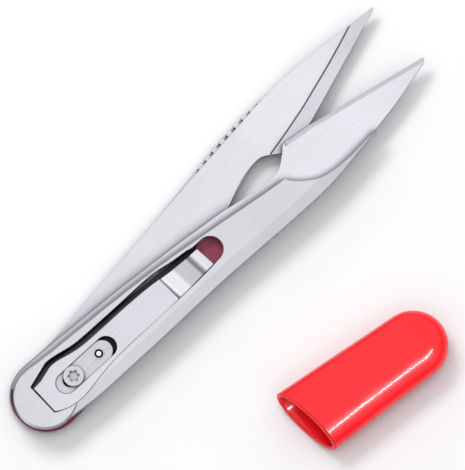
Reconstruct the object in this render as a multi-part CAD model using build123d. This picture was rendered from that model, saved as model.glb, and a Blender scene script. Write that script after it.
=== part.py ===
from build123d import *
import os
from math import cos, sin, asin, radians, hypot, atan2, degrees

# Thread snips: two long pressed-steel halves on one pivot near their round
# rear end, held open by a hairpin spring, with a sliding thumb lock in a
# window of the upper half, and a loose vinyl cap for the tips.
#
# Frame: millimetres, +X from the pivot to the tips, +Z up, origin on the
# pivot axis in the plane the snips rest on. The snips lie flat and open.
# The back half (lower) carries the +Y blade, the front half (upper) the -Y
# blade. The front half closes by turning anticlockwise about +Z.

os.makedirs("parts", exist_ok=True)

# ---------------------------------------------------------------- dimensions
# heights of the layers
Z_WEB = 0.8          # sheet of the two pressed shells
Z_BB0 = 2.2          # underside of the back blade
Z_BB1 = 3.1          # relieved upper face of the back blade
Z_LAND1 = 3.3        # ground land of the back blade
Z_LINER1 = 3.52      # top of the friction liner
Z_LAND2 = 3.34       # ground land of the front blade, underside
Z_FB0 = 3.54         # relieved lower face of the front blade
Z_FB1 = 4.44         # upper face of the front blade
Z_FW0 = 6.3          # underside of the front shell's web
Z_TOP = 7.1          # outside of the front shell's web
Z_CV0, Z_CV1 = 5.95, 6.65    # cover plate
Z_SL0, Z_SL1 = 5.87, 6.40    # lock slider block
Z_HK0, Z_HK1 = 5.45, 5.87    # lock hook plate
Z_HEAD0, Z_HEAD1 = 6.45, 7.3  # tension screw head
# pivot
BARREL_R = 2.3
BARREL_TOP = 5.4
BARREL_BORE = 1.55
SHANK_R = 1.5
HEAD_R = 2.45
FRONT_BORE = 2.35    # running fit of the front blade on the barrel
# motion
CLOSE_DEG = 9.2      # full closing turn of the front half
POST_R, POST_AT = 1.0, 22.0
POST_DEG = 0.2       # where the stop post stands with the snips open
LOCK_DEG = -4.4      # direction of the lock's slot, in the front half
LOCK_TRAVEL = 1.2
SLOT_W = 5.1
SLOT_REAR, SLOT_FRONT = -2.2, 10.1
SLIDER_W = 5.0
# round rear ends (centre x, centre y, radius)
REAR_BACK = (-6.95, 2.05, 8.5)
REAR_LINER = (-7.2, 1.85, 8.25)
REAR_FRONT = (-7.15, 2.15, 7.95)
REAR_FACE = (-7.75, 1.6, 7.45)
# sloped fold along the front shell's grip side
FOLD_WIDE, FOLD_DROP = 2.6, 0.55
# grip notches
NOTCH_X0, NOTCH_PITCH, NOTCH_N = 54.7, 2.57, 10
NOTCH_W, NOTCH_DEEP = 1.15, 1.15
# glide pad, and the round end of the window above it
PAD_X, PAD_Y, PAD_R = 43.3, -2.65, 3.35
WIN_X, WIN_Y, WIN_R = 43.0, -2.9, 3.12
# spring
WIRE_R, WIRE_Z, SPRING_R = 0.45, 4.94, 3.0
PILLAR = (20.0, -6.5, 0.42)
# cap
CAP_L, CAP_W0, CAP_W1 = 38.8, 18.6, 16.3
CAP_T0, CAP_T1 = 9.4, 8.6
CAP_WALL = 0.9
CAP_AT = (28.3, -46.1)
CAP_DEG = -11.3
CAP_SKEW = 10.0      # the mouth is trimmed askew, longer on its left
CAP_RAKE = 15.0      # and raked, with the lower lip longer


# ------------------------------------------------------------------- helpers
def V(p):
    return (p[0], p[1], 0.0)


def smooth(pts, t0=None, t1=None):
    """A smooth plan curve through the points."""
    pts = [V(p) for p in pts]
    if t0 is not None and t1 is not None:
        return Spline(*pts, tangents=(V(t0), V(t1)))
    return Spline(*pts)


def plate(edges, z0, z1):
    """A flat plate from closed plan edges."""
    return Pos(0, 0, z0) * extrude(make_face(edges), z1 - z0)


def poly(pts, z0, z1):
    return plate(Polyline(*[V(p) for p in pts], close=True).edges(), z0, z1)


def disc(x, y, r, z0, z1):
    return Pos(x, y, (z0 + z1) / 2) * Cylinder(r, z1 - z0)


def obround(xa, xb, w, z0, z1, deg=0.0):
    """A slot-shaped plate about the pivot, between two centres on a line."""
    r = w / 2
    body = Pos((xa + xb) / 2, 0, (z0 + z1) / 2) * Box(xb - xa, w, z1 - z0)
    body = body + disc(xa, 0, r, z0, z1) + disc(xb, 0, r, z0, z1)
    return Rot(0, 0, deg) * body


def shifted(pts, d):
    """Points moved sideways by d, to the left of their direction."""
    out = []
    n = len(pts)
    for i, p in enumerate(pts):
        a = pts[max(i - 1, 0)]
        b = pts[min(i + 1, n - 1)]
        tx, ty = b[0] - a[0], b[1] - a[1]
        l = hypot(tx, ty)
        out.append((p[0] - ty / l * d, p[1] + tx / l * d))
    return out


def bevel(p, q, wide, z_edge, z_face, side):
    """A wedge that takes the bevel off a straight cutting edge p-q.
    side +1: the metal lies to the left of p-q."""
    L = hypot(q[0] - p[0], q[1] - p[1])
    ang = degrees(atan2(q[1] - p[1], q[0] - p[0]))
    s = side
    o = 0.6
    k = (z_face - z_edge) / wide
    tri = [(-s * o, z_edge - k * o), (s * (wide + o), z_face + k * o),
           (-s * o, z_face + k * o)]
    sec = make_face(Polyline(*[(0, a, b) for a, b in tri], close=True).edges())
    wedge = extrude(sec, L, dir=(1, 0, 0))
    return Pos(p[0], p[1], 0) * Rot(0, 0, ang) * wedge


def one(shape):
    """The single solid of a boolean result."""
    s = shape.solids()
    return max(s, key=lambda a: a.volume)


def moved(pts, dx, dy):
    return [(x + dx, y + dy) for x, y in pts]


# ------------------------------------------------------------ plan outlines
# front half
F_UP = [(REAR_FRONT[0], REAR_FRONT[1] + REAR_FRONT[2]), (-3.0, 9.75),
        (0.7, 9.3), (9.1, 8.2), (21.6, 6.55), (30.4, 5.15), (39.9, 3.6),
        (46.4, 2.35), (53.5, 0.9)]
F_TEAR = [(53.5, 0.9), (57.4, -0.15), (60.5, -0.95), (63.6, -1.6),
          (66, -1.8), (67.9, -1.45), (69.6, -0.6), (71.6, 0.8)]
F_HEEL = [(71.6, 0.8), (72.6, 1.6), (73.6, 1.98), (75, 1.75)]
F_CUT = [(75, 1.75), (80.5, 0.62), (109.75, -7.75)]
F_TIP = [(109.75, -7.75), (110.25, -8.1), (110, -8.55), (108.8, -9.05)]
F_OUT = [(108.8, -9.05), (102.1, -10.2), (93.8, -11.2), (82.7, -11.85),
         (77.1, -11.9), (66.4, -11.2), (56, -10.7), (39.9, -9.35),
         (21.6, -8.2), (9.1, -7.25), (0.7, -6.55), (-3.1, -6.1),
         (REAR_FRONT[0], REAR_FRONT[1] - REAR_FRONT[2])]
# back half
B_OUT = [(REAR_BACK[0], REAR_BACK[1] + REAR_BACK[2]), (-2.4, 10.15), (0.9, 9.85),
         (5.1, 9.85), (21.8, 10.65), (40.1, 11.5), (53.4, 12.1), (66.6, 12.45),
         (79.2, 12.85), (86.6, 12.5), (94, 11.5), (105.1, 9.75),
         (110.8, 8.9)]
B_TIP = [(110.8, 8.9), (111.35, 8.55), (110.9, 8.2)]
B_CUT = [(110.9, 8.2), (80.7, 0.7), (75.2, -0.7)]
B_HEEL = [(75.2, -0.7), (73.8, -0.9), (72.8, -0.55), (71.8, 0.35)]
B_TEAR = [(71.8, 0.35), (70.8, 1.3), (69.5, 2.4), (68.2, 3.4),
          (67, 3.85), (65.4, 3.95), (62.6, 3.75), (59.1, 3), (55.6, 1.9),
          (53.7, 1.2)]
B_IN = [(53.7, 1.2), (46.6, -0.7), (40.1, -2), (30.6, -3.55),
        (21.8, -4.75), (9.3, -5.85), (0.9, -6.4),
        (REAR_BACK[0], REAR_BACK[1] - REAR_BACK[2])]


def rear_arc(c, up=True):
    x, y, r = c
    return ThreePointArc((x, y - r, 0), (x - r, y, 0), (x, y + r, 0))


# ================================================================ back half
back_edges = [
    rear_arc(REAR_BACK),
    smooth(B_OUT, (1, 0), (1, -0.16)), smooth(B_TIP),
    Line(V(B_CUT[0]), V(B_CUT[1])), Line(V(B_CUT[1]), V(B_CUT[2])),
    smooth(B_HEEL), smooth(B_TEAR), smooth(B_IN, (-1, -0.28), (-1, 0))]
back_full = plate(back_edges, Z_BB0, Z_LAND1)

# the mating face is relieved, except for the ground land at the cutting edge
B_LAND = [(66.8, 1.85), (69.5, 2.4), (76.1, 3.3), (82.9, 4.4), (94, 6.85),
          (99.6, 8.25), (105.1, 9.75)]
relief = poly([(-30, -30), (66.8, -30)] + B_LAND + [(105.7, 30), (-30, 30)],
              Z_BB1, Z_LAND1 + 1)
b_groove_line = B_LAND[1:]
groove = poly(b_groove_line + shifted(b_groove_line, 0.34)[::-1],
              Z_BB1 - 0.22, Z_LAND1 + 1)
back_blade = back_full - relief - groove
back_blade -= disc(0, 0, BARREL_R, 0, 9)
post_x, post_y = (POST_AT * cos(radians(POST_DEG)),
                  POST_AT * sin(radians(POST_DEG)))
back_blade -= disc(post_x, post_y, POST_R, 0, 9)
# cutting bevel on the outer (under) side
back_blade -= bevel((112.1, 8.5), (80.7, 0.7), 1.3, Z_LAND1 - 0.3,
                    Z_BB0, -1)
back_blade -= bevel((80.7, 0.7), (74.0, -0.95), 1.3, Z_LAND1 - 0.3,
                    Z_BB0, -1)

# pressed back shell: web below, folded walls up to the blade
BS_OUT = [(REAR_BACK[0], REAR_BACK[1] + REAR_BACK[2]), (-2.4, 10.17),
          (0.9, 9.9), (5.1, 9.9), (21.8, 10.75), (40.1, 11.65), (53.4, 12.65),
          (60.6, 13.35), (67.6, 13.6), (73.6, 13.55), (80.1, 13),
          (86.6, 12.25)]
BS_END = [(86.1, 11.7), (79.6, 11.1), (74, 10.45), (70.6, 8.45), (68.2, 5.95),
          (67, 4.45)]
BS_IN = [(67, 4.45), (60.6, 3.15), (53.7, 1.55), (46.6, 0.2), (40.1, -0.9),
         (30.6, -2.4), (21.8, -3.55), (9.3, -4.7), (0.9, -5.4),
         (REAR_BACK[0], REAR_BACK[1] - REAR_BACK[2] + 0.7)]
bs_edges = [
    ThreePointArc((REAR_BACK[0], REAR_BACK[1] - REAR_BACK[2] + 0.7, 0),
                  (REAR_BACK[0] - REAR_BACK[2] + 0.05, REAR_BACK[1] + 0.4, 0),
                  (REAR_BACK[0], REAR_BACK[1] + REAR_BACK[2], 0)),
    smooth(BS_OUT, (1, 0), (1, -0.15)), Line(V(BS_OUT[-1]), V(BS_END[0])),
    smooth(BS_END), smooth(BS_IN)]
bs_body = plate(bs_edges, 0, Z_BB0)
BC_OUT = [(x, y - 1.7) for x, y in BS_OUT[:-2]]
BC_IN = [(x, y + 0.95) for x, y in BS_IN[2:]]
bs_cavity = plate([
    ThreePointArc((REAR_BACK[0], BC_IN[-1][1], 0),
                  (REAR_BACK[0] - REAR_BACK[2] + 1.0, REAR_BACK[1], 0),
                  (REAR_BACK[0], BC_OUT[0][1], 0)),
    smooth(BC_OUT), Line(V(BC_OUT[-1]), (69.0, 8.8, 0)),
    Line((69.0, 8.8, 0), V(BC_IN[0])), smooth(BC_IN)], Z_WEB, Z_BB0 + 1)
low = [e for e in bs_body.edges()
       if abs(e.center().Z) < 1e-3 and e.length > 60]
bs_body = fillet(low, 0.35)
back_shell = bs_body - bs_cavity - disc(0, 0, BARREL_R, -1, 9)
notches_b = []
for i in range(NOTCH_N):
    x = NOTCH_X0 + 0.6 + i * NOTCH_PITCH
    # height of the grip edge there
    y = 12.75 + 0.85 * sin(radians(180 * min(max((x - 50.0) / 34.0, 0), 1)))
    notches_b.append(Pos(x, y + 1.0 - NOTCH_DEEP + 0.25, 2.15)
                     * Box(NOTCH_W, 2.0, 2.5))
for n in notches_b:
    back_shell -= n

BACK_STUDS = [(-11.6, 2.0), (30.0, 4.4), (58.0, 7.8)]
back_studs = []
for x, y in BACK_STUDS:
    s = disc(x, y, 1.5, Z_WEB, Z_BB0) + disc(x, y, 0.8, Z_WEB - 0.3, Z_BB0 + 0.3)
    back_studs.append(one(s))
    back_shell -= disc(x, y, 0.8, Z_WEB - 0.3, Z_WEB + 0.1)
    back_blade -= disc(x, y, 0.8, Z_BB0 - 0.1, Z_BB0 + 0.3)

pivot_barrel = (disc(0, 0, BARREL_R, 0, BARREL_TOP)
                - disc(0, 0, BARREL_BORE, 0.9, BARREL_TOP + 1))
stop_post = (disc(post_x, post_y, POST_R, Z_BB0, 5.85)
             + disc(post_x, post_y, 1.6, Z_BB0 - 0.6, Z_BB0))
friction_liner = (disc(*REAR_LINER, Z_BB1, Z_LINER1)
                  + disc(1.0, 0.0, 5.2, Z_BB1, Z_LINER1)
                  - disc(0, 0, BARREL_R + 0.05, 0, 9))

# =============================================================== front half
front_edges = [
    rear_arc(REAR_FRONT),
    smooth(F_UP, (1, 0), (1, -0.26)), smooth(F_TEAR), smooth(F_HEEL),
    Line(V(F_CUT[0]), V(F_CUT[1])), Line(V(F_CUT[1]), V(F_CUT[2])),
    smooth(F_TIP), smooth(F_OUT, (-1, -0.18), (-1, 0))]
front_full = plate(front_edges, Z_LAND2, Z_FB1)
F_LAND = [(x - 0.2, 0.95 - y) for x, y in B_LAND]
f_relief = poly([(-30, 30), (66.6, 30)] + F_LAND + [(105.5, -30), (-30, -30)],
                Z_LAND2 - 1, Z_FB0)
front_blade = front_full - f_relief
front_blade -= disc(0, 0, FRONT_BORE, 0, 9)
# cutting bevel on the outer (upper) side
front_blade -= bevel((111.0, -8.11), (80.5, 0.62), 1.15, Z_LAND2 + 0.35,
                     Z_FB1, 1)
front_blade -= bevel((80.5, 0.62), (73.4, 2.08), 1.15, Z_LAND2 + 0.35,
                     Z_FB1, 1)
# curved slot that the stop post travels in
a0, a1 = radians(POST_DEG), radians(POST_DEG - CLOSE_DEG)
ri, ro = POST_AT - POST_R - 0.08, POST_AT + POST_R + 0.08
am = (a0 + a1) / 2
arc_slot = plate([
    ThreePointArc((ro * cos(a1), ro * sin(a1), 0),
                  (ro * cos(am), ro * sin(am), 0),
                  (ro * cos(a0), ro * sin(a0), 0)),
    ThreePointArc((ro * cos(a0), ro * sin(a0), 0),
                  (POST_AT * cos(a0) - (POST_R + 0.08) * sin(a0),
                   POST_AT * sin(a0) + (POST_R + 0.08) * cos(a0), 0),
                  (ri * cos(a0), ri * sin(a0), 0)),
    ThreePointArc((ri * cos(a0), ri * sin(a0), 0),
                  (ri * cos(am), ri * sin(am), 0),
                  (ri * cos(a1), ri * sin(a1), 0)),
    ThreePointArc((ri * cos(a1), ri * sin(a1), 0),
                  (POST_AT * cos(a1) + (POST_R + 0.08) * sin(a1),
                   POST_AT * sin(a1) - (POST_R + 0.08) * cos(a1), 0),
                  (ro * cos(a1), ro * sin(a1), 0))], 0, 9)
front_blade -= arc_slot
front_blade -= disc(PAD_X, PAD_Y, PAD_R + 0.05, 0, 9)

# pressed front shell: walls up from the blade, web on top
S_UP = [(REAR_FACE[0], REAR_FACE[1] + REAR_FACE[2]), (-3.6, 8.5), (0.3, 7.85),
        (8.7, 6.7), (21.2, 4.95), (31.5, 3.3), (38.0, 2.05), (45.0, 0.55),
        (53.0, -1.2), (60.0, -2.75), (64.0, -3.6), (66.6, -4.0)]
S_END = [(66.6, -4.0), (67.7, -6.0), (69.9, -8.3), (72.4, -10.1),
         (76.7, -11.35), (82.0, -11.85), (90.0, -11.9)]
S_OUT = [(90.0, -11.9), (82.3, -12.5), (76.7, -12.85), (70.0, -12.8),
         (63.0, -12.3), (55.6, -11.6), (39.5, -10.0), (21.2, -8.85),
         (8.7, -7.9), (0.3, -7.15), (-3.5, -6.55),
         (REAR_FACE[0], REAR_FACE[1] - REAR_FACE[2])]
fs_edges = [rear_arc(REAR_FACE), smooth(S_UP, (1, 0), (1, -0.1)),
            smooth(S_END), smooth(S_OUT, (-1, -0.1), (-1, 0.13))]
fs_body = plate(fs_edges, Z_FB1, Z_TOP)
# the fold on the grip side: a long shallow slope, then a small round
top_face = fs_body.faces().sort_by(Axis.Z)[-1]
grip_edge = [e for e in top_face.edges()
             if e.length > 60 and e.center().Y < -3][0]
fs_body = chamfer(grip_edge, FOLD_WIDE, FOLD_DROP, reference=top_face)
top = [e for e in fs_body.edges()
       if abs(e.center().Z - Z_TOP) < 1e-3 and e.center().Y > -3]
fs_body = fillet([e for e in top if e.length > 60], 0.35)
SC_UP = [(x, y - 0.85) for x, y in S_UP[:-1]]
SC_OUT = [(x, y + 1.75) for x, y in S_OUT[3:]]
fs_cavity = plate([
    ThreePointArc((REAR_FACE[0], SC_OUT[-1][1], 0),
                  (REAR_FACE[0] - REAR_FACE[2] + 0.85, REAR_FACE[1], 0),
                  (REAR_FACE[0], SC_UP[0][1], 0)),
    smooth(SC_UP), Line(V(SC_UP[-1]), V(SC_OUT[0])), smooth(SC_OUT)],
    Z_FB1 - 1, Z_FW0)
front_shell = fs_body - fs_cavity
# window over the lock and the tension leaf
W_TOP = [(-2.4, 6.85), (-0.7, 6.7), (4.5, 5.3), (10.8, 4.5), (21.2, 3.65),
         (31.5, 2.55), (35.0, 1.65), (39.5, 0.75), (WIN_X, WIN_Y + WIN_R)]
W_LOW = [(WIN_X, WIN_Y - WIN_R), (36.0, -5.95), (29.5, -5.6), (17.0, -4.75),
         (8.7, -4.35), (2.8, -4.75), (-2.6, -5.0), (-6.2, -4.2), (-9.2, -2.6)]
window = plate([
    Line((-9.2, -2.6, 0), (-8.65, 5.5, 0)), Line((-8.65, 5.5, 0), V(W_TOP[0])),
    smooth(W_TOP, (1, 0.02), (1, -0.05)),
    ThreePointArc(V(W_TOP[-1]), (WIN_X + WIN_R, WIN_Y, 0), V(W_LOW[0])),
    smooth(W_LOW)], Z_FW0 - 1, Z_TOP + 1)
front_shell -= window
for i in range(NOTCH_N):
    x = NOTCH_X0 + i * NOTCH_PITCH
    y = -11.75 - 1.0 * sin(radians(180 * min(max((x - 53.0) / 42.0, 0), 1)))
    front_shell -= (Pos(x, y - 1.0 + NOTCH_DEEP - 0.55, 5.2)
                    * Box(NOTCH_W, 2.0, 1.9))

FRONT_STUDS = [(-12.3, 1.5), (52.0, -6.0), (62.0, -7.8)]
front_studs = []
for x, y in FRONT_STUDS:
    s = disc(x, y, 1.5, Z_FB1, Z_FW0) + disc(x, y, 0.8, Z_FB1 - 0.3, Z_FW0 + 0.3)
    front_studs.append(one(s))
    front_shell -= disc(x, y, 0.8, Z_FW0 - 0.1, Z_FW0 + 0.3)
    front_blade -= disc(x, y, 0.8, Z_FB1 - 0.3, Z_FB1 + 0.1)

# cover plate in the window, slotted for the lock
C_TOP = [(-2.6, 5.4), (-0.5, 5.35), (2.8, 4.35), (6.6, 3.45), (10.8, 3.0),
         (21.2, 2.15), (29.9, 0.95)]
C_LOW = [(29.6, -5.45), (17.0, -4.64), (8.7, -4.24), (2.8, -4.62),
         (-2.6, -4.86), (-6.1, -4.06), (-8.85, -2.4)]
cover_plate = plate([
    Line((-8.85, -2.4, 0), (-8.25, 4.8, 0)),
    Line((-8.25, 4.8, 0), (-5.9, 4.75, 0)), Line((-5.9, 4.75, 0), V(C_TOP[0])),
    smooth(C_TOP), Line(V(C_TOP[-1]), V(C_LOW[0])), smooth(C_LOW)],
    Z_CV0, Z_CV1)
cover_plate -= obround(SLOT_REAR, SLOT_FRONT, SLOT_W, Z_CV0 - 1, Z_CV1 + 1,
                       LOCK_DEG)

STANDOFFS = [(-6.3, 0.6, 0.9), (14.0, 1.85, 0.7), (12.0, -3.5, 0.45)]
cover_standoffs = []
for x, y, r in STANDOFFS:
    s = disc(x, y, r, Z_FB1, Z_CV0) + disc(x, y, 0.35, Z_CV0, Z_CV0 + 0.4)
    cover_standoffs.append(one(s))
    cover_plate -= disc(x, y, 0.35, Z_CV0 - 0.1, Z_CV0 + 0.4)
# the pillar the spring's second leg bears on
px, py, pr = PILLAR
spring_pillar = disc(px, py, pr, Z_FB1 - 0.6, 5.6)
front_blade -= disc(px, py, pr, Z_FB1 - 0.6, Z_FB1 + 1)

# tension leaf: spring strip stepping down from under the cover plate
LT = 0.4
LEAF = [(24.0, 5.75), (29.9, 5.75), (31.0, 5.62), (33.2, 5.02), (34.4, 4.9),
        (37.8, 4.9), (38.7, 4.64), (41.3, 4.64)]
up_side = [(x, 0, z + LT / 2) for x, z in LEAF]
lo_side = [(x, 0, z - LT / 2) for x, z in LEAF]
leaf_sec = make_face(Polyline(*(up_side + lo_side[::-1]), close=True).edges())
leaf_bar = Pos(0, 10, 0) * extrude(leaf_sec, 20, dir=(0, -1, 0))
leaf_plan = poly([(23.0, 1.4), (29.9, 0.95), (34.0, 0.4), (38.2, -0.1),
                  (41.6, -0.3), (41.6, -5.5), (29.6, -5.35), (23.0, -4.85)],
                 4.0, 6.3)
tension_leaf = one(leaf_bar & leaf_plan)
LEAF_RIVETS = [(26.6, -0.8), (26.6, -3.6)]
leaf_rivets = []
for x, y in LEAF_RIVETS:
    s = disc(x, y, 0.6, 5.4, Z_CV0 + 0.35) + disc(x, y, 1.0, 5.25, 5.55)
    leaf_rivets.append(one(s))
    tension_leaf -= disc(x, y, 0.6, 5, 6.5)
    cover_plate -= disc(x, y, 0.6, Z_CV0 - 0.1, Z_CV0 + 0.35)
glide_pad = disc(PAD_X, PAD_Y, PAD_R, Z_BB1 + 0.03, 4.42)
glide_pad = fillet([e for e in glide_pad.edges()
                    if abs(e.center().Z - 4.42) < 1e-3], 0.15)

# opening spring: hairpin of round wire about the barrel
leg1 = (22.0, -1.42)
leg2 = (20.3, -5.6)


def tangent_from(c_r, p, sign):
    """Where a straight leg to p leaves the loop of radius c_r."""
    d = hypot(*p)
    base = atan2(p[1], p[0])
    off = sign * (3.14159265 / 2 - asin(c_r / d))
    return (c_r * cos(base + off), c_r * sin(base + off))


q1 = tangent_from(SPRING_R, leg1, 1)
q2 = tangent_from(SPRING_R, leg2, -1)
path = Line((leg1[0], leg1[1], WIRE_Z), (q1[0], q1[1], WIRE_Z)) + \
    ThreePointArc((q1[0], q1[1], WIRE_Z), (-SPRING_R, 0, WIRE_Z),
                  (q2[0], q2[1], WIRE_Z)) + \
    Line((q2[0], q2[1], WIRE_Z), (leg2[0], leg2[1], WIRE_Z))
w0 = (q1[0] - leg1[0], q1[1] - leg1[1], 0)
prof = Plane(origin=(leg1[0], leg1[1], WIRE_Z), z_dir=w0) * Circle(WIRE_R)
opening_spring = sweep(prof, path=path)

# ================================================================ the lock
lock_rot = Rot(0, 0, LOCK_DEG)
s_rear = SLOT_REAR + 0.05
s_front = SLOT_FRONT - LOCK_TRAVEL - 0.1
EYE_S, EYE_R = 7.85, 1.3
EYE_RING = (0.6, 1.07)   # annular groove in the rivet's head
lock_slider = obround(s_rear, s_front, SLIDER_W, Z_SL0, Z_SL1, 0)
lock_slider -= obround(-LOCK_TRAVEL, 0.0, 3.3, Z_SL0 - 1, Z_SL1 + 1, 0)
lock_slider -= disc(EYE_S, 0, EYE_R, 0, 9)
hook = (Pos(8.0, 0, (Z_HK0 + Z_HK1) / 2) * Box(19.0, 3.8, Z_HK1 - Z_HK0)
        + disc(-1.5, 0, 1.9, Z_HK0, Z_HK1)
        + Pos(18.85, 0, (Z_HK0 + Z_HK1) / 2) * Box(3.7, 1.2, Z_HK1 - Z_HK0))
hook -= obround(-LOCK_TRAVEL, 0.0, 3.3, 0, 9, 0)
hook -= disc(EYE_S, 0, EYE_R, 0, 9)
eyelet = disc(EYE_S, 0, EYE_R, Z_HK0, Z_SL1 + 0.12)
eyelet = fillet([e for e in eyelet.edges()
                 if abs(e.center().Z - (Z_SL1 + 0.12)) < 1e-3], 0.1)
eyelet -= (disc(EYE_S, 0, EYE_RING[1], Z_SL1 - 0.3, 9)
           - disc(EYE_S, 0, EYE_RING[0], 0, 9))
lock_slider = lock_rot * lock_slider
lock_hook = lock_rot * hook
lock_eyelet = lock_rot * eyelet

# ========================================================== the pivot screw
head = disc(0, 0, HEAD_R, Z_HEAD0, Z_HEAD1)
head = fillet([e for e in head.edges()
               if abs(e.center().Z - Z_HEAD1) < 1e-3], 0.3)
socket = disc(0, 0, 1.02, Z_HEAD1 - 0.6, Z_HEAD1 + 1)
for i in range(6):
    a = radians(60 * i + 20)
    socket += disc(1.06 * cos(a), 1.06 * sin(a), 0.34, Z_HEAD1 - 0.6,
                   Z_HEAD1 + 1)
tension_screw = head + disc(0, 0, SHANK_R, 1.0, Z_HEAD0) - socket

# ================================================================= the cap
def cap_body(inset):
    w0, w1 = CAP_W0 / 2 - inset, CAP_W1 / 2 - inset
    t0, t1 = CAP_T0 / 2 - inset, CAP_T1 / 2 - inset
    xd = CAP_L - CAP_W1 / 2        # where the dome starts
    x0 = -6.0
    zc0, zc1 = CAP_T0 / 2, CAP_T1 / 2
    sec0 = Plane(origin=(x0, 0, zc0), x_dir=(0, 1, 0), z_dir=(1, 0, 0)) \
        * Ellipse(w0, t0)
    sec1 = Plane(origin=(xd, 0, zc1), x_dir=(0, 1, 0), z_dir=(1, 0, 0)) \
        * Ellipse(w1, t1)
    tube = loft([sec0, sec1])
    dome = Pos(xd, 0, zc1) * scale(Sphere(1.0), by=(w1, w1, t1))
    return tube + dome


cap = cap_body(0) - cap_body(CAP_WALL)
cutter = Pos(-15, 0, 0) * Box(30, 60, 60)
cutter = Pos(-0.0, 0, CAP_T0 / 2) * Rot(0, 0, CAP_SKEW) * Rot(0, CAP_RAKE, 0) \
    * cutter
cap -= cutter
blade_cap = Pos(CAP_AT[0], CAP_AT[1], 0) * Rot(0, 0, CAP_DEG) * one(cap)

# ------------------------------------------------------------------- export
nodes = {
    "back_blade": back_blade,
    "back_shell": back_shell,
    "back_studs": back_studs,
    "pivot_barrel": pivot_barrel,
    "stop_post": stop_post,
    "friction_liner": friction_liner,
    "front_blade": front_blade,
    "front_shell": front_shell,
    "front_studs": front_studs,
    "cover_plate": cover_plate,
    "cover_standoffs": cover_standoffs,
    "spring_pillar": spring_pillar,
    "tension_leaf": tension_leaf,
    "leaf_rivets": leaf_rivets,
    "glide_pad": glide_pad,
    "opening_spring": opening_spring,
    "lock_slider": lock_slider,
    "lock_hook": lock_hook,
    "lock_eyelet": lock_eyelet,
    "tension_screw": tension_screw,
    "blade_cap": blade_cap,
}
for name, shape in nodes.items():
    if isinstance(shape, list):
        out = Compound(children=[s for s in shape])
    else:
        sol = shape.solids()
        out = sol[0] if len(sol) == 1 else Compound(children=list(sol))
    out.label = name
    print(name, len(out.solids()), round(out.volume, 2))
    export_step(out, "parts/" + name + ".step")
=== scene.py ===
import bpy, bmesh, math
from mathutils import Vector, Matrix


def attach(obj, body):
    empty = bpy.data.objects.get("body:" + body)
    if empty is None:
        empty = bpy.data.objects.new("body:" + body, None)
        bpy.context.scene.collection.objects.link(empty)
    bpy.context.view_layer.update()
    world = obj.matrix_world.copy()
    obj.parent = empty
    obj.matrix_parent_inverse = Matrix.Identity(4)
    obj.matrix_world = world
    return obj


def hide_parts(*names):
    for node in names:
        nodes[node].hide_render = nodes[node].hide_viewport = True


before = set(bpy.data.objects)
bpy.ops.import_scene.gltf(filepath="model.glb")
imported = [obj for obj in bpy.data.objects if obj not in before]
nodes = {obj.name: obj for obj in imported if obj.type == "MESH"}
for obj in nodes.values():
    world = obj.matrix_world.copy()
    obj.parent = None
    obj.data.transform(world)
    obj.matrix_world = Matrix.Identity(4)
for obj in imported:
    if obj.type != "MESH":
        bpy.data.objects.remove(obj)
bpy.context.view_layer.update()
scene = bpy.context.scene


# --------------------------------------------------------------- materials
class Mat:
    """A small helper that builds one node material."""

    def __init__(self, name):
        self.m = bpy.data.materials.new(name)
        self.m.use_nodes = True
        self.nt = self.m.node_tree
        for n in list(self.nt.nodes):
            self.nt.nodes.remove(n)
        self.out = self.add("ShaderNodeOutputMaterial")
        self.bsdf = self.add("ShaderNodeBsdfPrincipled")
        self.link(self.bsdf, "BSDF", self.out, "Surface")
        self.coord = self.add("ShaderNodeTexCoord")

    def add(self, kind, **kw):
        n = self.nt.nodes.new(kind)
        for k, v in kw.items():
            setattr(n, k, v)
        return n

    def link(self, a, ao, b, bi):
        self.nt.links.new(a.outputs[ao], b.inputs[bi])

    def setv(self, **kw):
        for k, v in kw.items():
            self.bsdf.inputs[k.replace("_", " ")].default_value = v

    def mapping(self, scale=(1, 1, 1), rot=(0, 0, 0), loc=(0, 0, 0)):
        mp = self.add("ShaderNodeMapping")
        mp.inputs["Scale"].default_value = scale
        mp.inputs["Rotation"].default_value = rot
        mp.inputs["Location"].default_value = loc
        self.link(self.coord, "Object", mp, "Vector")
        return mp

    def noise(self, scale, detail=3.0, rough=0.5, vec=None, dist=0.0):
        n = self.add("ShaderNodeTexNoise")
        n.inputs["Scale"].default_value = scale
        n.inputs["Detail"].default_value = detail
        n.inputs["Roughness"].default_value = rough
        n.inputs["Distortion"].default_value = dist
        if vec is not None:
            self.link(vec, "Vector", n, "Vector")
        else:
            self.link(self.coord, "Object", n, "Vector")
        return n

    def ramp(self, src, so, stops):
        r = self.add("ShaderNodeValToRGB")
        els = r.color_ramp.elements
        while len(els) < len(stops):
            els.new(0.5)
        for e, (p, c) in zip(els, stops):
            e.position = p
            e.color = c if len(c) == 4 else (*c, 1)
        self.link(src, so, r, "Fac")
        return r

    def maprange(self, src, so, a, b, c, d):
        r = self.add("ShaderNodeMapRange")
        for k, v in zip(("From Min", "From Max", "To Min", "To Max"),
                        (a, b, c, d)):
            r.inputs[k].default_value = v
        self.link(src, so, r, "Value")
        return r

    def math(self, op, a, b, clamp=False):
        n = self.add("ShaderNodeMath", operation=op, use_clamp=clamp)
        for i, x in enumerate((a, b)):
            if isinstance(x, tuple):
                self.nt.links.new(x[0].outputs[x[1]], n.inputs[i])
            elif x is not None:
                n.inputs[i].default_value = x
        return n

    def bump(self, src, so, strength, dist, normal=None):
        b = self.add("ShaderNodeBump")
        b.inputs["Strength"].default_value = strength
        b.inputs["Distance"].default_value = dist
        self.link(src, so, b, "Height")
        if normal is not None:
            self.link(normal, "Normal", b, "Normal")
        return b


# ambient occlusion stops (AO, value) for the painted shade in seams and slots
AO_SHADE = ((0.0, 0.03), (0.38, 0.16), (0.72, 1.0))
AO_SHADE_WIDE = ((0.0, 0.02), (0.46, 0.10), (0.70, 0.42), (0.95, 1.0))


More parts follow.
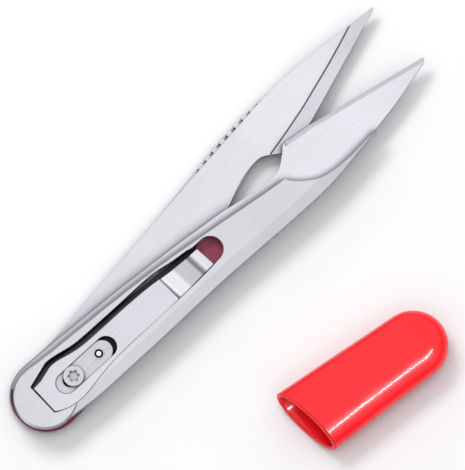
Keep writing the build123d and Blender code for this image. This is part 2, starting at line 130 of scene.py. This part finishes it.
def steel(name, dark, light, r0, r1, grain_deg=0.0, grain=1.0, bump=0.1,
          edge=0.00022, metallic=1.0, ao_dist=0.0014, shade_stops=AO_SHADE,
          tone=None, drift=0.90):
    """Satin stainless: long fine grain lines, faint cloudy tone, small
    scratches, and rounded bright edges."""
    k = Mat(name)
    a = math.radians(-grain_deg)
    # grain: noise squeezed along its direction
    mp = k.mapping(scale=(60 * grain, 2600 * grain, 2600 * grain),
                   rot=(0, 0, a))
    g = k.noise(1.0, 4.0, 0.6, vec=mp)
    cloud = k.noise(95.0, 3.0, 0.55)
    mp2 = k.mapping(scale=(26, 900, 900), rot=(0, 0, a + 0.35))
    scr = k.noise(1.0, 2.0, 0.5, vec=mp2, dist=0.6)
    scr_line = k.ramp(scr, "Fac", [(0.0, (0, 0, 0)), (0.70, (0, 0, 0)),
                                   (0.735, (1, 1, 1)), (0.77, (0, 0, 0))])
    mix = k.math("MULTIPLY", (g, "Fac"), 0.62)
    mix2 = k.math("MULTIPLY", (cloud, "Fac"), 0.38)
    tone_v = k.math("ADD", (mix, "Value"), (mix2, "Value"))
    col = k.ramp(tone_v, "Value", [(0.30, dark), (0.70, light)])
    # painted shade: ambient occlusion darkens the base colour in seams and
    # slots
    ao = k.add("ShaderNodeAmbientOcclusion", samples=8)
    ao.inputs["Distance"].default_value = ao_dist
    ao_shade = k.ramp(ao, "AO", [(p, (v, v, min(v * 1.06, 1.0)))
                             for p, v in shade_stops])
    mixc = k.add("ShaderNodeMix", data_type="RGBA", blend_type="MULTIPLY")
    mixc.inputs["Factor"].default_value = 1.0
    k.nt.links.new(col.outputs["Color"], mixc.inputs[6])
    k.nt.links.new(ao_shade.outputs["Color"], mixc.inputs[7])
    last = mixc.outputs[2]
    # slow drift of the polish over the length
    slow = k.noise(19.0, 1.0, 0.4)
    dr = k.ramp(slow, "Fac", [(0.35, (drift, drift, drift)),
                              (0.65, (1, 1, 1))])
    masks = [dr.outputs["Color"]] + (tone(k) if tone else [])
    for src in masks:
        mm = k.add("ShaderNodeMix", data_type="RGBA", blend_type="MULTIPLY")
        mm.inputs["Factor"].default_value = 1.0
        k.nt.links.new(last, mm.inputs[6])
        k.nt.links.new(src, mm.inputs[7])
        last = mm.outputs[2]
    k.nt.links.new(last, k.bsdf.inputs["Base Color"])
    rr = k.maprange(tone_v, "Value", 0.3, 0.7, r1, r0)
    r2 = k.math("MULTIPLY", (scr_line, "Color"), 0.10)
    rough = k.math("ADD", (rr, "Result"), (r2, "Value"), clamp=True)
    k.link(rough, "Value", k.bsdf, "Roughness")
    bev = k.add("ShaderNodeBevel", samples=4)
    bev.inputs["Radius"].default_value = edge
    b1 = k.bump(g, "Fac", bump, 0.00004, bev)
    b2 = k.bump(scr_line, "Color", 0.12, -0.00002, b1)
    k.link(b2, "Normal", k.bsdf, "Normal")
    k.setv(Metallic=metallic)
    return k.m


def assign(obj, *mats):
    obj.data.materials.clear()
    for m in mats:
        obj.data.materials.append(m)


def xyz(k):
    n = k.add("ShaderNodeSeparateXYZ")
    k.link(k.coord, "Object", n, "Vector")
    return n


def along_x(stops):
    """Tone that follows the length of the piece; stops are (mm, value)."""
    x0, x1 = stops[0][0], stops[-1][0]

    def make(k):
        mr = k.maprange(xyz(k), "X", x0 / 1000, x1 / 1000, 0.0, 1.0)
        r = k.ramp(mr, "Result", [((x - x0) / (x1 - x0), (v, v, v))
                                  for x, v in stops])
        return [r.outputs["Color"]]
    return make


def by_radius(cx, cy, stops):
    """Tone in rings about a centre; stops are (mm, value)."""
    r1 = stops[-1][0]

    def make(k):
        sub = k.add("ShaderNodeVectorMath", operation="SUBTRACT")
        k.link(k.coord, "Object", sub, 0)
        sub.inputs[1].default_value = (cx / 1000, cy / 1000, 0)
        mul = k.add("ShaderNodeVectorMath", operation="MULTIPLY")
        k.link(sub, 0, mul, 0)
        mul.inputs[1].default_value = (1, 1, 0)
        ln = k.add("ShaderNodeVectorMath", operation="LENGTH")
        k.link(mul, 0, ln, 0)
        mr = k.maprange(ln, "Value", 0.0, r1 / 1000, 0.0, 1.0)
        r = k.ramp(mr, "Result", [(x / r1, (v, v, v)) for x, v in stops])
        return [r.outputs["Color"]]
    return make


def shade_by_normal(k, axis, stops):
    """Painted shade by which way a face points, with a tint where a stop is a
    colour; stops are (n, value).
    """
    g = k.add("ShaderNodeNewGeometry")
    n = k.add("ShaderNodeSeparateXYZ")
    k.link(g, "True Normal", n, "Vector")
    n0, n1 = stops[0][0], stops[-1][0]
    mr = k.maprange(n, axis, n0, n1, 0.0, 1.0)
    r = k.ramp(mr, "Result", [((x - n0) / (n1 - n0),
                               v if isinstance(v, tuple) else (v, v, v))
                              for x, v in stops])
    return [r.outputs["Color"]]


LILAC = (0.86, 0.84, 0.88)


def back_tone(k):
    """The ground strip at the cutting edge stands a little proud and has
    a duller, warmer grey; steep cut walls are painted dark as shade."""
    mr = k.maprange(xyz(k), "Z", 0.00316, 0.00320, 0.0, 1.0)
    r = k.ramp(mr, "Result", [(0.0, (1, 1, 1)), (1.0, LILAC)])
    return [r.outputs["Color"]] + shade_by_normal(k, "Z", [(0.0, 0.38), (0.45, 0.38),
                                                     (0.6, 1.0), (1.0, 1.0)])


def window_shade(k):
    """Painted shade: the front blade's face is painted dark where the window
    shows it, and its steep walls are darkened.
    """
    n = xyz(k)
    sl = k.math("MULTIPLY", (n, "X"), 0.148)
    yy = k.math("ADD", (n, "Y"), (sl, "Value"))
    a = k.math("LESS_THAN", (yy, "Value"), 0.0069)
    b = k.math("LESS_THAN", (n, "X"), 0.047)
    m = k.math("MULTIPLY", (a, "Value"), (b, "Value"))
    r = k.ramp(m, "Value", [(0.0, (1, 1, 1)), (1.0, (0.13, 0.13, 0.142))])
    return [r.outputs["Color"]] + shade_by_normal(
        k, "Z", [(0.0, 0.34), (0.45, 0.34), (0.6, LILAC), (0.93, LILAC),
                 (0.97, 1.0), (1.0, 1.0)])


def side_shade(k):
    """Painted shade: faces pressed over toward the right side are darkened."""
    g = k.add("ShaderNodeNewGeometry")
    n = k.add("ShaderNodeSeparateXYZ")
    k.link(g, "Normal", n, "Vector")
    r = k.maprange(n, "Y", -0.16, -0.55, 1.0, 0.58)
    c = k.ramp(r, "Result", [(0.0, (0, 0, 0)), (1.0, (1, 1, 1))])
    return [c.outputs["Color"]]


# painted shade: the shell darkens toward its front end, and faces turned
# toward either side are darkened
def shell_shade(k):
    return along_x([(-20, 0.96), (8, 1.0), (45, 0.94), (75, 0.88),
                    (95, 0.86)])(k) + side_shade(k) + shade_by_normal(
        k, "Y", [(0.0, 1.0), (0.08, 1.0), (0.19, 0.56), (0.6, 0.50),
                 (1.0, 0.42)])


shell = steel("shell_satin", (0.72, 0.73, 0.762), (0.81, 0.82, 0.848),
              0.26, 0.36, grain_deg=-4, bump=0.06)
shell_f = steel("front_shell_satin", (0.72, 0.73, 0.762),
                (0.81, 0.82, 0.848), 0.26, 0.36, grain_deg=-4, bump=0.06,
                tone=shell_shade)
blade_b = steel("back_blade_satin", (0.76, 0.77, 0.795),
                (0.85, 0.86, 0.88), 0.24, 0.34, grain_deg=-6, bump=0.05,
                shade_stops=AO_SHADE_WIDE, ao_dist=0.0030, tone=back_tone)
blade_f = steel("front_blade_satin", (0.75, 0.76, 0.79),
                (0.84, 0.85, 0.88), 0.24, 0.34, grain_deg=-6, bump=0.05,
                shade_stops=AO_SHADE_WIDE, ao_dist=0.0022, tone=window_shade)
cover = steel("cover_satin", (0.72, 0.73, 0.765), (0.82, 0.83, 0.86),
              0.24, 0.36, grain_deg=-4, bump=0.06)
slider = steel("slider_satin", (0.62, 0.625, 0.65), (0.76, 0.76, 0.78),
               0.30, 0.42, grain_deg=-4, grain=1.3, bump=0.10,
               shade_stops=((0.0, 0.03), (0.45, 0.2), (0.85, 1.0)))
screw_m = steel("pin_turned", (0.52, 0.52, 0.57), (0.70, 0.70, 0.75),
                0.26, 0.40, grain_deg=30, bump=0.10, edge=0.00012)
# painted highlight: the head's rim is lighter than its centre
screw_h = steel("screw_turned", (0.60, 0.60, 0.635), (0.76, 0.76, 0.79),
                0.22, 0.34, grain_deg=30, bump=0.08, edge=0.00014,
                shade_stops=((0.0, 0.04), (0.5, 0.35), (0.8, 1.0)),
                tone=by_radius(0, 0, [(0.0, 0.92), (1.7, 0.92), (2.05, 1.0),
                                      (2.5, 1.0)]), drift=1.0)
spring_m = steel("spring_bright", (0.72, 0.72, 0.74), (0.88, 0.88, 0.90),
                 0.14, 0.24, grain_deg=86, bump=0.05, edge=0.0001)
# painted shadow and reflection: along the leaf, a dark shadow line where it
# leaves the cover, a bright reflected band, a dark line at the bend, then
# darker toward the pad
leaf_m = steel("leaf_bright", (0.88, 0.88, 0.90), (0.95, 0.95, 0.97),
               0.18, 0.26, grain_deg=86, bump=0.04, edge=0.0001, drift=1.0,
               tone=along_x([(28.6, 0.55), (29.7, 0.22), (30.15, 0.30),
                             (30.6, 1.0), (33.2, 1.0), (34.4, 0.62),
                             (37.4, 0.60), (38.1, 0.26), (38.7, 0.34),
                             (39.4, 0.86), (41.0, 0.80), (43.5, 0.50),
                             (48.0, 0.55)]))
# painted shade: the ring in the eyelet's groove is painted near black
eye_m = steel("eyelet_bright", (0.82, 0.82, 0.84), (0.94, 0.94, 0.95),
              0.14, 0.24, grain_deg=20, bump=0.03, edge=0.00008, drift=1.0,
              shade_stops=((0.0, 0.3), (0.5, 0.6), (0.8, 1.0)),
              tone=by_radius(7.827, -0.602,
                             [(0.0, 1.0), (0.56, 1.0), (0.62, 0.02),
                              (1.05, 0.02), (1.11, 1.0), (1.4, 1.0)]))
# painted shade: near-black steel for the lock hook, which shows only in the
# shaded gap of the slot
shade_black_steel = steel("inner_painted_shade", (0.012, 0.012, 0.014),
                   (0.035, 0.035, 0.04), 0.40, 0.55, grain_deg=-4,
                   bump=0.08, edge=0.0001)


def fibre(name, dark, light):
    """Dark red vulcanised fibre whose red is a painted reflection of the red
    cap: fine flecks on a smooth cut face.
    """
    k = Mat(name)
    f = k.noise(2600.0, 4.0, 0.65)
    c = k.noise(240.0, 2.0, 0.5)
    t = k.math("MULTIPLY", (f, "Fac"), 0.55)
    t2 = k.math("MULTIPLY", (c, "Fac"), 0.45)
    tone = k.math("ADD", (t, "Value"), (t2, "Value"))
    col = k.ramp(tone, "Value", [(0.3, dark), (0.7, light)])
    k.link(col, "Color", k.bsdf, "Base Color")
    r = k.maprange(f, "Fac", 0.3, 0.7, 0.32, 0.5)
    k.link(r, "Result", k.bsdf, "Roughness")
    b = k.bump(f, "Fac", 0.25, 0.00005)
    k.link(b, "Normal", k.bsdf, "Normal")
    return k.m


red_reflection_fibre = fibre("red_fibre", (0.20, 0.02, 0.055), (0.38, 0.05, 0.11))


def vinyl(name):
    """Glossy dip-moulded vinyl: deep red with slow tone drift, a faint
    orange-peel skin and a few dull rubs."""
    k = Mat(name)
    slow = k.noise(55.0, 0.0, 0.5)
    fine = k.noise(900.0, 3.0, 0.5)
    col = k.ramp(slow, "Fac", [(0.3, (0.70, 0.002, 0.007)),
                               (0.7, (0.79, 0.006, 0.012))])
    k.link(col, "Color", k.bsdf, "Base Color")
    rub = k.noise(160.0, 4.0, 0.6)
    r = k.maprange(rub, "Fac", 0.35, 0.75, 0.16, 0.30)
    k.link(r, "Result", k.bsdf, "Roughness")
    b = k.bump(fine, "Fac", 0.006, 0.00002)
    b2 = k.bump(slow, "Fac", 0.08, 0.0005, b)
    k.link(b2, "Normal", k.bsdf, "Normal")
    k.setv(Subsurface_Weight=0.08, Subsurface_Scale=0.0015,
           Specular_IOR_Level=0.40, Coat_Weight=0.35, Coat_Roughness=0.06,
           IOR=1.45)
    k.bsdf.inputs["Subsurface Radius"].default_value = (1.0, 0.25, 0.2)
    return k.m


red = vinyl("red_vinyl")

plan = {
    "back_blade": blade_b, "front_blade": blade_f,
    "back_shell": shell, "front_shell": shell_f,
    "back_studs": screw_m, "front_studs": screw_m,
    "cover_plate": cover, "cover_standoffs": screw_m,
    "spring_pillar": screw_m, "tension_leaf": leaf_m,
    "leaf_rivets": screw_m, "glide_pad": red_reflection_fibre, "friction_liner": red_reflection_fibre,
    "opening_spring": spring_m, "pivot_barrel": screw_m,
    "stop_post": screw_m, "lock_slider": slider, "lock_hook": shade_black_steel,
    "lock_eyelet": eye_m, "tension_screw": screw_h, "blade_cap": red,
}
for n, m in plan.items():
    assign(nodes[n], m)

# ------------------------------------------------------------------ the cap
def make_cap():
    """Dip-moulded vinyl sleeve: flattened tube, domed end, mouth trimmed
    askew, soft rolled lip, the top lip sagging a little."""
    L, W0, W1, T0, T1, WALL = 38.8, 18.6, 16.3, 9.4, 8.6, 0.9
    xd = L - W1 / 2
    skew, rake = math.tan(math.radians(10.0)), math.tan(math.radians(15.0))
    at, deg = (28.3, -46.1), math.radians(-11.3)
    NT, NS, ND = 128, 68, 20

    def sag(x, y, z):
        """the top of the open end sags, and the body has slow waves"""
        f = max(0.0, 1.0 - max(x + 2.0, 0.0) / 16.0) ** 2
        zc = 4.6
        if z > zc:
            z = zc + (z - zc) * (1.0 - 0.085 * f)
            z -= 0.05 * (0.5 + 0.5 * math.sin(x * 0.42 + y * 0.25)) \
                * (z - zc) / 4.7
        y *= 1.0 - 0.006 * (0.5 + 0.5 * math.sin(x * 0.31 + 1.0))
        return x, y, z

    def point(th, f, inset):
        """f 0..1 along the tube, 1..2 round the dome"""
        c, s = math.cos(th), math.sin(th)

        def sec(x):
            t = (x + 6.0) / (xd + 6.0)
            w = (W0 + (W1 - W0) * t) / 2
            h = (T0 + (T1 - T0) * t) / 2
            return w - inset, h - inset, h
        w, h, zc = sec(0.0)
        y, z = w * c, zc + h * s
        x0 = -y * skew + (z - T0 / 2) * rake
        if f <= 1.0:
            x = x0 + f * (xd - x0)
            w, h, zc = sec(x)
            y, z = w * c, zc + h * s
        else:
            a = (f - 1.0) * math.pi / 2
            w, h, zc = sec(xd)
            r = W1 / 2 - inset
            x = xd + r * math.sin(a)
            y = w * math.cos(a) * c
            z = zc + h * math.cos(a) * s
        return sag(x, y, z)

    bm = bmesh.new()
    rings = []
    fs = [(i / NS) ** 1.15 for i in range(NS + 1)] + \
        [1.0 + i / ND for i in range(1, ND)]
    # inner surface from the dome to the mouth, the lip, then the outer one
    inner = [(f, WALL) for f in reversed(fs)]
    outer = [(f, 0.0) for f in fs]
    lip = []
    for i in range(1, 8):
        a = math.pi * i / 8
        lip.append((a,))
    for f, ins in inner[:-1]:
        rings.append([point(2 * math.pi * j / NT, f, ins) for j in range(NT)])
    # the rolled lip: a half round between the two surfaces
    for i in range(0, 9):
        a = math.pi * i / 8
        ins = WALL / 2 + math.cos(a) * WALL / 2
        ring = []
        for j in range(NT):
            th = 2 * math.pi * j / NT
            x, y, z = point(th, 0.0, ins)
            ring.append((x + 0.38 * (1 - math.sin(a)), y, z))
        rings.append(ring)
    for f, ins in outer[1:]:
        rings.append([point(2 * math.pi * j / NT, f, ins) for j in range(NT)])
    ca, sa = math.cos(deg), math.sin(deg)

    def place(p):
        x, y, z = p
        return ((at[0] + x * ca - y * sa) / 1000,
                (at[1] + x * sa + y * ca) / 1000, z / 1000)
    vr = [[bm.verts.new(place(p)) for p in ring] for ring in rings]
    for a, b in zip(vr[:-1], vr[1:]):
        for j in range(NT):
            k = (j + 1) % NT
            bm.faces.new((a[j], a[k], b[k], b[j]))
    ti = bm.verts.new(place(sag(xd + W1 / 2 - WALL, 0, T1 / 2)))
    to = bm.verts.new(place(sag(xd + W1 / 2, 0, T1 / 2)))
    for j in range(NT):
        k = (j + 1) % NT
        bm.faces.new((ti, vr[0][k], vr[0][j]))
        bm.faces.new((to, vr[-1][j], vr[-1][k]))
    bmesh.ops.recalc_face_normals(bm, faces=bm.faces)
    for f in bm.faces:
        f.smooth = True
    me = bpy.data.meshes.new("vinyl_cap")
    bm.to_mesh(me)
    bm.free()
    ob = bpy.data.objects.new("vinyl_cap", me)
    scene.collection.objects.link(ob)
    me.materials.append(red)
    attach(ob, "cap")
    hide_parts("blade_cap")
    return ob


cap = make_cap()

# -------------------------------------------------------------- floor, light
floor_me = bpy.data.meshes.new("floor")
bm = bmesh.new()
bmesh.ops.create_grid(bm, x_segments=1, y_segments=1, size=3.0)
bm.to_mesh(floor_me)
bm.free()
floor = bpy.data.objects.new("floor", floor_me)
scene.collection.objects.link(floor)
floor.location = (0, 0, -0.00005)
kf = Mat("paper_floor")
fn = kf.noise(30.0, 3.0, 0.5)
fc = kf.ramp(fn, "Fac", [(0.3, (0.93, 0.93, 0.93)), (0.7, (0.95, 0.95, 0.95))])
# painted shadow: ambient occlusion darkens the floor under and around the
# parts
fao = kf.add("ShaderNodeAmbientOcclusion", samples=8)
fao.inputs["Distance"].default_value = 0.0035
floor_painted_shadow = kf.ramp(fao, "AO", [(0.0, (0.40, 0.40, 0.41)), (0.4, (0.62, 0.62, 0.63)),
                          (0.8, (1, 1, 1))])
fmx = kf.add("ShaderNodeMix", data_type="RGBA", blend_type="MULTIPLY")
fmx.inputs["Factor"].default_value = 1.0
kf.nt.links.new(fc.outputs["Color"], fmx.inputs[6])
kf.nt.links.new(floor_painted_shadow.outputs["Color"], fmx.inputs[7])
kf.nt.links.new(fmx.outputs[2], kf.bsdf.inputs["Base Color"])
kf.setv(Roughness=0.9)
floor_me.materials.append(kf.m)

# camera: long lens, from the photograph's side, nearly overhead
ELEV = math.radians(78.0)
AZ = math.radians(-47.4)
horiz = Vector((-math.sin(AZ), math.cos(AZ), 0.0))
look = horiz * math.cos(ELEV) + Vector((0, 0, -math.sin(ELEV)))
right = Vector((math.cos(AZ), math.sin(AZ), 0.0))
up = right.cross(look)
K = 4368.0             # pixels per metre at the object
W, H = 465, 470
# the screw head's place in the picture
u0, v0 = 73.6, 375.8
pivot = Vector((0, 0, 0.0073))
target = pivot + right * ((W / 2 - u0) / K) + up * (-(H / 2 - v0) / K)
dist = 1.6
cam_d = bpy.data.cameras.new("camera")
cam = bpy.data.objects.new("camera", cam_d)
scene.collection.objects.link(cam)
cam_d.sensor_fit = "HORIZONTAL"
cam_d.sensor_width = 36.0
cam_d.lens = 36.0 * dist / (W / K)
cam_d.clip_end = 20
cam.location = target - look * dist
cam.rotation_euler = look.to_track_quat("-Z", "Y").to_euler()
scene.camera = cam


def area(name, loc, size, power, aim=(0.04, -0.02, 0), shape="RECTANGLE",
         size_y=None, color=(1, 1, 1)):
    d = bpy.data.lights.new(name, "AREA")
    d.shape = shape
    d.size = size
    if size_y:
        d.size_y = size_y
    d.energy = power
    d.color = color
    o = bpy.data.objects.new(name, d)
    scene.collection.objects.link(o)
    o.location = loc
    o.rotation_euler = (Vector(aim) - Vector(loc)).to_track_quat(
        "-Z", "Y").to_euler()
    return o


def at(az_deg, el_deg, r):
    """A place round the object, as seen from the camera's own azimuth."""
    a = math.radians(az_deg) + AZ
    e = math.radians(el_deg)
    c = Vector((0.045, -0.02, 0))
    return c + Vector((math.sin(a) * math.cos(e), -math.cos(a) * math.cos(e),
                       math.sin(e))) * r


# upper left key throws the soft shadow to the lower right
key = area("key", at(215, 48, 0.9), 0.46, 3.2)
key.visible_glossy = False
# a long narrow strip, lower right, draws the streak along the cap
strip = area("strip", (0.070, -0.375, 0.500), 0.46, 2.3,
             aim=(0.046, -0.050, 0), size_y=0.020)
lit = bpy.data.collections.new("strip_lights")
lit.objects.link(cap)
strip.light_linking.receiver_collection = lit

world = bpy.data.worlds.new("world")
scene.world = world
world.use_nodes = True
wn = world.node_tree
for n in list(wn.nodes):
    wn.nodes.remove(n)
wo = wn.nodes.new("ShaderNodeOutputWorld")
bg = wn.nodes.new("ShaderNodeBackground")
tc = wn.nodes.new("ShaderNodeTexCoord")
sp = wn.nodes.new("ShaderNodeSeparateXYZ")
rp = wn.nodes.new("ShaderNodeValToRGB")
wn.links.new(tc.outputs["Generated"], sp.inputs[0])
lean = wn.nodes.new("ShaderNodeMath")
lean.operation = "MULTIPLY_ADD"
wn.links.new(sp.outputs["Y"], lean.inputs[0])
lean.inputs[1].default_value = 0.22
wn.links.new(sp.outputs["Z"], lean.inputs[2])
wn.links.new(lean.outputs[0], rp.inputs["Fac"])
els = rp.color_ramp.elements
els[0].position = 0.0
els[0].color = (0.25, 0.25, 0.27, 1)
els[1].position = 1.0
els[1].color = (0.95, 0.95, 0.97, 1)
for p, c in ((0.18, (0.30, 0.30, 0.32, 1)), (0.42, (0.9, 0.9, 0.92, 1)),
             (0.8, (0.80, 0.80, 0.82, 1))):
    e = els.new(p)
    e.color = c
wn.links.new(rp.outputs["Color"], bg.inputs["Color"])
# what the metal mirrors is a little brighter than what lights the floor
lp = wn.nodes.new("ShaderNodeLightPath")
st = wn.nodes.new("ShaderNodeMath")
st.operation = "MULTIPLY_ADD"
wn.links.new(lp.outputs["Is Glossy Ray"], st.inputs[0])
st.inputs[1].default_value = 0.13
st.inputs[2].default_value = 0.97
wn.links.new(st.outputs[0], bg.inputs["Strength"])
wn.links.new(bg.outputs["Background"], wo.inputs["Surface"])
scene.view_settings.view_transform = "Standard"
scene.view_settings.look = "None"
